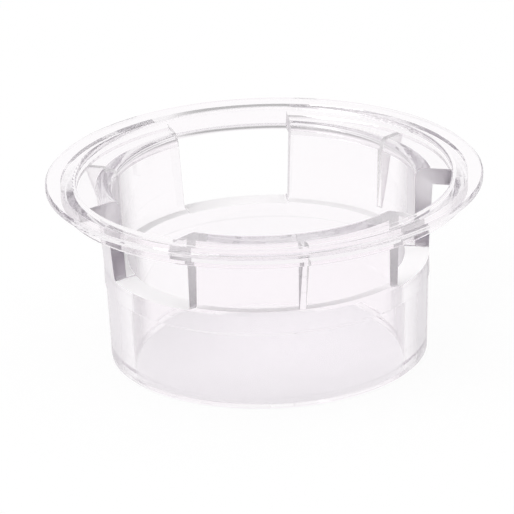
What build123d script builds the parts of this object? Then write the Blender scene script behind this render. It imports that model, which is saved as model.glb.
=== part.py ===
"""Hanging cell culture insert for one well of a six-well plate.

The insert is an open cup, moulded in clear polystyrene, with a porous membrane sealed across its
foot. Cells grow on the membrane, in medium that also fills the well around the cup. A flat rim hangs
on the top edge of the well, and a skirt under the rim centres the cup in it. Three broad legs carry
the cup under the rim. Between them three windows are open from above, so that a pipette reaches the
medium in the well with the insert in place.

Millimetres, +Z up. The origin is the middle of the foot, on the membrane's underside, and one leg
faces -Y.
"""

import os

from build123d import *

# ---- Barrel: its bore and its outside both open a little upwards, so that it leaves the mould
HEIGHT = 15.9  # membrane's underside to the top of the rim
FOOT_BORE_RADIUS = 11.5  # the free area of the membrane
FOOT_WALL = 1.95
FOOT_CHAMFER = 0.15
BORE_DRAFT = 0.25  # foot to ledge
BARREL_DRAFT = 0.25  # foot to shoulder

# ---- Shoulder: the barrel is a touch larger above this line than below it
SHOULDER_DROP = 1.65  # below the sill
SHOULDER_RISE = 0.12
SHOULDER_STEP = 0.1

# ---- Windows between the legs
SILL_DEPTH = 7.3  # below the rim's top
WINDOW_SILL_WIDTH = 9.4  # where the window meets the inside of the legs
WINDOW_SIDE_DRAFT = 3.0  # degrees, wider towards the top
WINDOW_SPLAY = 5.4  # degrees, each side opens outwards by this much, seen from above
WINDOW_CORNER_ROUND = 0.4

# ---- Legs, and the plates that join them to the skirt
LEGS = 3
LEG_SETBACK = 0.9  # a leg's inside stands back from the bore, which leaves a ledge around the cup
LEDGE_LIFT = 0.1  # ledge above the sill
LEG_LEAN_IN = 0.2  # its inside leans out by this much, ledge to plate
LEG_LEAN_OUT = 0.45  # its outside leans out by this much, sill to plate
PLATE_RECESS = 0.3  # below the rim's top
PLATE_THICKNESS = 1.4
PLATE_REACH = 1.6  # leg to skirt, seen from above
PLATE_OVERLAP = 0.3  # how far a plate runs on into the skirt's wall
PLATE_INNER_ROUND = 0.8

# ---- Rim and skirt
SKIRT_WALL = 1.35
SKIRT_DEPTH = 2.0  # below the rim's top
SKIRT_LAND = 1.25  # straight part of the skirt's outside
SKIRT_TIP = 0.3  # flat left under the lead-in
RIM_LEDGE = 1.3  # what hangs on the well
RIM_THICKNESS = 0.48
RIM_OUTER_CHAMFER = 0.15
RIM_INNER_ROUND = 0.4  # the rim's top turns down into the skirt's bore

# ---- Gusset under the middle of each plate
GUSSET_THICKNESS = 0.55
GUSSET_STOP = 0.45  # its lower end, above the sill
GUSSET_TOE = 0.25  # how far that end stands off the leg
GUSSET_ROOT = 0.8  # buried in leg and plate

# ---- Membrane
MEMBRANE_THICKNESS = 0.05
MEMBRANE_TRIM = 0.1  # the membrane is cut this far inside the foot's chamfer

# ---- Worked out from the values above
foot_radius = FOOT_BORE_RADIUS + FOOT_WALL
neck_radius = foot_radius + BARREL_DRAFT
barrel_radius = neck_radius + SHOULDER_STEP
ledge_bore_radius = FOOT_BORE_RADIUS + BORE_DRAFT
leg_foot_radius = ledge_bore_radius + LEG_SETBACK
leg_top_radius = leg_foot_radius + LEG_LEAN_IN
leg_outer_radius = barrel_radius + LEG_LEAN_OUT
skirt_bore_radius = leg_outer_radius + PLATE_REACH
skirt_radius = skirt_bore_radius + SKIRT_WALL
rim_radius = skirt_radius + RIM_LEDGE

foot_z = MEMBRANE_THICKNESS
sill_z = HEIGHT - SILL_DEPTH
ledge_z = sill_z + LEDGE_LIFT
shoulder_z = sill_z - SHOULDER_DROP
gusset_z = sill_z + GUSSET_STOP
skirt_z = HEIGHT - SKIRT_DEPTH
plate_z = HEIGHT - PLATE_RECESS
plate_under_z = plate_z - PLATE_THICKNESS
rim_z = HEIGHT - RIM_THICKNESS

leg_angle = -90.0
window_angle = leg_angle + 180.0 / LEGS

# ---- Barrel, legs and plates as one turned profile
plate_end_radius = skirt_bore_radius + PLATE_OVERLAP

with BuildPart() as cup:
    with BuildSketch(Plane.XZ):
        with BuildLine():
            Polyline(
                (FOOT_BORE_RADIUS, foot_z),
                (foot_radius - FOOT_CHAMFER, foot_z),
                (foot_radius, foot_z + FOOT_CHAMFER),
                (neck_radius, shoulder_z - SHOULDER_RISE),
                (barrel_radius, shoulder_z),
                (barrel_radius, sill_z),
                (leg_outer_radius, plate_under_z),
                (plate_end_radius, plate_under_z),
                (plate_end_radius, plate_z),
                (leg_top_radius, plate_z),
                (leg_foot_radius, ledge_z),
                (ledge_bore_radius, ledge_z),
                close=True,
            )
        make_face()
        fillet(vertices().sort_by_distance((leg_top_radius, plate_z))[0], PLATE_INNER_ROUND)
    revolve(axis=Axis.Z)

# ---- One window's space, on +X: it starts at the sill, widens upwards, and ends on the skirt's bore
side = Vector(1, 0).rotate(Axis.Z, WINDOW_SPLAY)
side_at_leg = Vector(leg_foot_radius, WINDOW_SILL_WIDTH / 2)
side_inner = side_at_leg - side * leg_foot_radius
side_outer = side_at_leg + side * (skirt_radius - leg_foot_radius)

with BuildPart() as window:
    with BuildSketch(Plane.XY.offset(sill_z)):
        with BuildLine():
            side_line = Line(side_inner, side_outer)
            mirrored = mirror(side_line, about=Plane.XZ)
            Line(side_line @ 0, mirrored @ 0)
            Line(side_line @ 1, mirrored @ 1)
        make_face()
    extrude(amount=SILL_DEPTH, taper=-WINDOW_SIDE_DRAFT)
    sill_edges = window.faces().sort_by(Axis.Z)[0].edges().filter_by(Axis.Y, reverse=True)
    fillet(sill_edges, WINDOW_CORNER_ROUND)
    with BuildSketch(Plane.XY.offset(sill_z)):
        Circle(skirt_bore_radius)
    extrude(amount=SILL_DEPTH, mode=Mode.INTERSECT)

# ---- One gusset, on +X: it carries the plate's outer edge from the leg
with BuildPart() as gusset:
    with BuildSketch(Plane.XZ):
        with BuildLine():
            Polyline(
                (barrel_radius - GUSSET_ROOT, gusset_z),
                (barrel_radius + GUSSET_TOE, gusset_z),
                (skirt_bore_radius, skirt_z),
                (skirt_bore_radius, plate_under_z + GUSSET_ROOT),
                (leg_outer_radius - GUSSET_ROOT, plate_under_z + GUSSET_ROOT),
                close=True,
            )
        make_face()
    extrude(amount=GUSSET_THICKNESS / 2, both=True)

# ---- Rim and skirt as one turned ring
with BuildPart() as ring:
    with BuildSketch(Plane.XZ):
        with BuildLine():
            Polyline(
                (skirt_bore_radius, HEIGHT),
                (rim_radius, HEIGHT),
                (rim_radius, rim_z),
                (skirt_radius, rim_z),
                (skirt_radius, rim_z - SKIRT_LAND),
                (skirt_bore_radius + SKIRT_TIP, skirt_z),
                (skirt_bore_radius, skirt_z),
                close=True,
            )
        make_face()
        chamfer(vertices().sort_by_distance((rim_radius, HEIGHT))[0], RIM_OUTER_CHAMFER)
        fillet(vertices().sort_by_distance((skirt_bore_radius, HEIGHT))[0], RIM_INNER_ROUND)
    revolve(axis=Axis.Z)

# ---- The moulded body: cup with its windows, ring, gussets
with BuildPart() as insert_body:
    add(cup.part)
    with PolarLocations(0, LEGS, start_angle=window_angle):
        add(window.part, mode=Mode.SUBTRACT)
    add(ring.part)
    with PolarLocations(0, LEGS, start_angle=leg_angle):
        add(gusset.part)

# ---- The membrane: a disc of track-etched film, sealed to the flat under the foot
with BuildPart() as membrane:
    with BuildSketch(Plane.XY):
        Circle(foot_radius - FOOT_CHAMFER - MEMBRANE_TRIM)
    extrude(amount=MEMBRANE_THICKNESS)

insert_body.part.label = "insert_body"
membrane.part.label = "membrane"

os.makedirs("parts", exist_ok=True)
export_step(insert_body.part, "parts/insert_body.step")
export_step(membrane.part, "parts/membrane.step")
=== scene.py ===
"""A clear hanging cell culture insert on a white studio floor, in metres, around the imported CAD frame."""

import math

import bpy
from mathutils import Matrix, Vector


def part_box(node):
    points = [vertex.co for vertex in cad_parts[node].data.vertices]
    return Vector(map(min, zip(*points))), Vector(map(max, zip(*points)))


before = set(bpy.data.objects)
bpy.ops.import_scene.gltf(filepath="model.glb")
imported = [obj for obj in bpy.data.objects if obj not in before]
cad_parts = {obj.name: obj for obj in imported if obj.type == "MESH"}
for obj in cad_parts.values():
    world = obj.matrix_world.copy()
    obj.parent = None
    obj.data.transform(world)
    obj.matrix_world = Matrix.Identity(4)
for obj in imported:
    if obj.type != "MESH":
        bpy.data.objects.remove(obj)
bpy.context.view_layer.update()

# ---- Housing
# One injection moulding in clear polystyrene: cup, legs, plates, skirt and rim together, with the skin of a
# polished mould. The faces that cross the wall, at the windows' sides and the ends of the plates, are formed
# by slides whose shut-offs are ground and not polished, so they look greyer and softer.


class Socket:
    """A shader socket that does maths: an operator on it adds the node that works it out."""

    def __init__(self, shader, socket):
        self.shader = shader
        self.socket = socket

    def maths(self, operation, *terms):
        return self.shader.node("Math", {"operation": operation}, terms)

    def __add__(self, other):
        return self.maths("ADD", self, other)

    def __sub__(self, other):
        return self.maths("SUBTRACT", self, other)

    def __rsub__(self, other):
        return self.maths("SUBTRACT", other, self)

    def __mul__(self, other):
        return self.maths("MULTIPLY", self, other)

    def __truediv__(self, other):
        return self.maths("DIVIDE", self, other)

    def __pow__(self, other):
        return self.maths("POWER", self, other)

    def __abs__(self):
        return self.maths("ABSOLUTE", self)

    __radd__ = __add__
    __rmul__ = __mul__


class Shader:
    """The node tree of one finish, of the floor or of the room."""

    def __init__(self, owner):
        owner.use_nodes = True
        self.owner = owner
        self.tree = owner.node_tree
        self.tree.nodes.clear()

    def node(self, kind, settings=None, values=None, out=0):
        """Adds a node, its settings first and then the values or links of its sockets. Returns one output."""
        made = self.tree.nodes.new("ShaderNode" + kind)
        for key, value in (settings or {}).items():
            setattr(made, key, value)
        pairs = values.items() if isinstance(values, dict) else enumerate(values or ())
        for key, value in pairs:
            if isinstance(value, Socket):
                self.tree.links.new(value.socket, made.inputs[key])
            else:
                made.inputs[key].default_value = value
        return Socket(self, made.outputs[out]) if made.outputs else made

    def smooth(self, value, start, end):
        """Rises softly from 0 at start to 1 at end."""
        return self.node("MapRange", {"interpolation_type": "SMOOTHSTEP"}, [value, start, end])

    def show(self, surface, **others):
        kind = "OutputWorld" if isinstance(self.owner, bpy.types.World) else "OutputMaterial"
        self.node(kind, None, {"Surface": surface, **others})


polystyrene = Shader(bpy.data.materials.new("clear_polystyrene"))
place = polystyrene.node("TexCoord", out="Object")
face = polystyrene.node("NewGeometry", out="Normal")
upward = polystyrene.node("SeparateXYZ", None, [face], out="Z")
above_floor = polystyrene.node("SeparateXYZ", None, [place], out="Z")

# A face that crosses the wall looks along the rim, where the others look in, out, up or down.
SHUT_OFF_STARTS, SHUT_OFF_FULL = 0.45, 0.7
along_rim = polystyrene.node("VectorMath", {"operation": "CROSS_PRODUCT"}, [(0, 0, 1), place])
along_rim = polystyrene.node("VectorMath", {"operation": "NORMALIZE"}, [along_rim])
crossing = polystyrene.node("VectorMath", {"operation": "DOT_PRODUCT"}, [face, along_rim], out="Value")
shut_off = polystyrene.smooth(abs(crossing), SHUT_OFF_STARTS, SHUT_OFF_FULL)

# The sills are milky from the ends of the slides, and so is the ledge beside them. They are the only level
# faces at this depth below the rim's top.
SILL_MILK, SILL_DEPTH, SILL_REACH, SILL_FADE = 0.92, 0.00725, 0.0004, 0.0001
LEVEL_STARTS, LEVEL_FULL = 0.8, 0.95
off_sill = abs(above_floor - (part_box("insert_body")[1].z - SILL_DEPTH))
near_sill = 1 - polystyrene.smooth(off_sill, SILL_REACH, SILL_REACH + SILL_FADE)
sill = polystyrene.smooth(upward, LEVEL_STARTS, LEVEL_FULL) * near_sill

# Painted shade: where an upright wall turns edge on, a grey matt layer is mixed into its outer skin, so that
# its edges look darker.
EDGE_SHADE_SHARE, GRAZING_STARTS, GRAZING_FULL = 0.4, 0.5, 0.72
UPRIGHT_ENDS, UPRIGHT_GONE = 0.1, 0.3
upright = 1 - polystyrene.smooth(abs(upward), UPRIGHT_ENDS, UPRIGHT_GONE)
facing = polystyrene.node("LayerWeight", None, {"Blend": 0.5}, out="Facing")
grazing = polystyrene.smooth(facing, GRAZING_STARTS, GRAZING_FULL)
inside = polystyrene.node("NewGeometry", out="Backfacing")
painted_edge_shade = grazing * upright * (1 - inside) * EDGE_SHADE_SHARE

# The polish is a little uneven.
POLISHED_ROUGHNESS, UNEVEN_POLISH, SHUT_OFF_ROUGHNESS = 0.025, 0.02, 0.40
polish = polystyrene.node("TexNoise", None, {"Vector": place, "Scale": 260.0, "Detail": 3.0})
skin = polystyrene.node(
    "BsdfPrincipled",
    None,
    {
        "Base Color": (1.0, 0.978, 0.994, 1),
        "Roughness": POLISHED_ROUGHNESS + polish * UNEVEN_POLISH + shut_off * SHUT_OFF_ROUGHNESS,
        "IOR": 1.59,
        "Transmission Weight": 1.0,
    },
)
milky = polystyrene.node("BsdfDiffuse", None, {"Color": (0.99, 0.975, 0.985, 1)})
# The grey matt layer of the painted edge shade.
edge_shade_grey = polystyrene.node("BsdfDiffuse", None, {"Color": (0.60, 0.565, 0.60, 1)})
depth = polystyrene.node("VolumeAbsorption", None, {"Color": (0.84, 0.82, 0.845, 1), "Density": 56.0})
# The polished skin, with the painted edge shade mixed in at its grazing edges.
wall = polystyrene.node("MixShader", None, [painted_edge_shade, skin, edge_shade_grey])
polystyrene.show(polystyrene.node("MixShader", None, [sill * SILL_MILK, wall, milky]), Volume=depth)
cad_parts["insert_body"].data.materials[0] = polystyrene.owner

# ---- Membrane
# A track-etched polyester film. Its pores are far too fine to see, and turn it evenly milky, though light
# still comes through. Round its edge it is welded flat to the foot, where the pores close and it is clear.
FILM_MILK, MILK_CLOUDING = 0.20, 0.06
WELD_WIDTH, WELD_FADE = 0.0017, 0.0001
free_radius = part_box("membrane")[1].x - WELD_WIDTH
film = Shader(bpy.data.materials.new("track_etched_film"))
place = film.node("TexCoord", out="Object")
level_place = film.node("VectorMath", {"operation": "MULTIPLY"}, [place, (1, 1, 0)])
radius = film.node("VectorMath", {"operation": "LENGTH"}, [level_place], out="Value")
free = 1 - film.smooth(radius, free_radius, free_radius + WELD_FADE)
clouding = film.node("TexNoise", None, {"Vector": place, "Scale": 180.0, "Detail": 4.0})
milk = film.node(
    "BsdfPrincipled",
    None,
    {
        "Base Color": (0.95, 0.90, 0.97, 1),
        "Roughness": 0.55,
        "Alpha": free * (FILM_MILK + clouding * MILK_CLOUDING),
    },
)
film.show(milk)
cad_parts["membrane"].data.materials[0] = film.owner

# ---- Floor
# A white laminate sheet, far wider than the insert, that takes its soft shadow. It lies a hair below the
# film, so that the two flat faces stay apart.
FLOOR_REACH, FLOOR_DROP = 2.0, 0.00002
corners = [(x * FLOOR_REACH, y * FLOOR_REACH, -FLOOR_DROP) for x, y in ((-1, -1), (1, -1), (1, 1), (-1, 1))]
floor_mesh = bpy.data.meshes.new("floor")
floor_mesh.from_pydata(corners, [], [(0, 1, 2, 3)])
floor = bpy.data.objects.new("floor", floor_mesh)
bpy.context.scene.collection.objects.link(floor)

# Looked at straight, in a reflection or through the plastic, it is nearly pure white. Elsewhere it is matt.
DIRECT_WHITE, THROUGH_WHITE = 0.93, 0.95
laminate = Shader(bpy.data.materials.new("white_laminate"))
camera_ray = laminate.node("LightPath", out="Is Camera Ray")
glossy_ray = laminate.node("LightPath", out="Is Glossy Ray")
through_ray = laminate.node("LightPath", out="Is Transmission Ray")
seen_white = camera_ray * DIRECT_WHITE + (glossy_ray + through_ray) * THROUGH_WHITE
matt = laminate.node("BsdfDiffuse", None, {"Color": (0.93, 0.93, 0.93, 1)})
lit = laminate.node("Emission", None, {"Strength": 1.0})
laminate.show(laminate.node("MixShader", None, [seen_white, matt, lit]))
floor_mesh.materials.append(laminate.owner)

# ---- Room
# A white studio: a bright sweep low down all round, a dimmer band of room above it in front and behind, and a
# bright ceiling. Low down in front, on the camera's side, the sweep is a little dimmer too.
SWEEP_LIGHT, BAND_DIM, CEILING_LIFT, FRONT_DIM = 0.97, 0.55, 0.15, 0.15
SWEEP_ENDS, BAND_STARTS, BAND_ENDS, CEILING_STARTS = 0.50, 0.66, 0.72, 0.88
SIDE_ENDS, FRONT_STARTS = 0.5, 0.9
room = Shader(bpy.data.worlds.new("studio"))
bpy.context.scene.world = room.owner
direction = room.node("TexCoord", out="Generated")
height = room.node("SeparateXYZ", None, [direction], out="Z")
backward = room.node("SeparateXYZ", None, [direction], out="Y")
above_sweep = room.smooth(height, SWEEP_ENDS, BAND_STARTS)
ceiling = room.smooth(height, BAND_ENDS, CEILING_STARTS)
band = above_sweep * (1 - ceiling)
level_part = (1.0001 - height * height) ** 0.5  # a hair over 1, so that it isn't nothing straight up
fore_and_aft = room.smooth(abs(backward) / level_part, SIDE_ENDS, FRONT_STARTS)
front_low = room.smooth(backward * -1, SIDE_ENDS, 1) * (1 - above_sweep)
level = SWEEP_LIGHT - band * fore_and_aft * BAND_DIM + ceiling * CEILING_LIFT - front_low * FRONT_DIM
room.show(room.node("Background", None, {"Color": (1, 1, 1, 1), "Strength": level}))

# ---- Key light
# A large soft window of light, high on the left and a little to the front.
key = bpy.data.lights.new("key_softbox", "AREA")
key.shape, key.size, key.energy = "SQUARE", 0.25, 0.55
softbox = bpy.data.objects.new("key_softbox", key)
softbox.location = (-0.28, -0.12, 0.36)
softbox.rotation_mode = "QUATERNION"
softbox.rotation_quaternion = (-softbox.location).to_track_quat("-Z", "Y")
bpy.context.scene.collection.objects.link(softbox)

# ---- Camera
# It looks down on the cup from a little to the left of the leg that faces it. Light is thrown back many times
# inside the clear walls, so it is followed for longer than usual.
scene = bpy.context.scene
scene.view_settings.view_transform = "Standard"
scene.cycles.max_bounces = 96
scene.cycles.glossy_bounces = 64
scene.cycles.transmission_bounces = 64
scene.cycles.diffuse_bounces = 12
scene.cycles.transparent_max_bounces = 32
TURN, RISE, ROLL = math.radians(-11.8), math.radians(21.1), math.radians(-1.866)
REACH, AIM_DROP, AIM_LEFT = 0.5, 0.00757, 0.00081
camera_data = bpy.data.cameras.new("camera")
camera_data.lens = 415.0
camera_data.clip_start = 0.01
camera = bpy.data.objects.new("camera", camera_data)
scene.collection.objects.link(camera)
scene.camera = camera
up = Vector((0, 0, 1))
right = Vector((math.cos(TURN), math.sin(TURN), 0))
away = Vector((-math.sin(TURN), math.cos(TURN), 0))
rim_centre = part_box("insert_body")[1].z * up
camera.location = rim_centre + REACH * (math.sin(RISE) * up - math.cos(RISE) * away)
aim = rim_centre - AIM_DROP * up - AIM_LEFT * right
camera.rotation_mode = "QUATERNION"
look = (aim - camera.location).to_track_quat("-Z", "Y")
camera.rotation_quaternion = look @ Matrix.Rotation(ROLL, 4, "Z").to_quaternion()
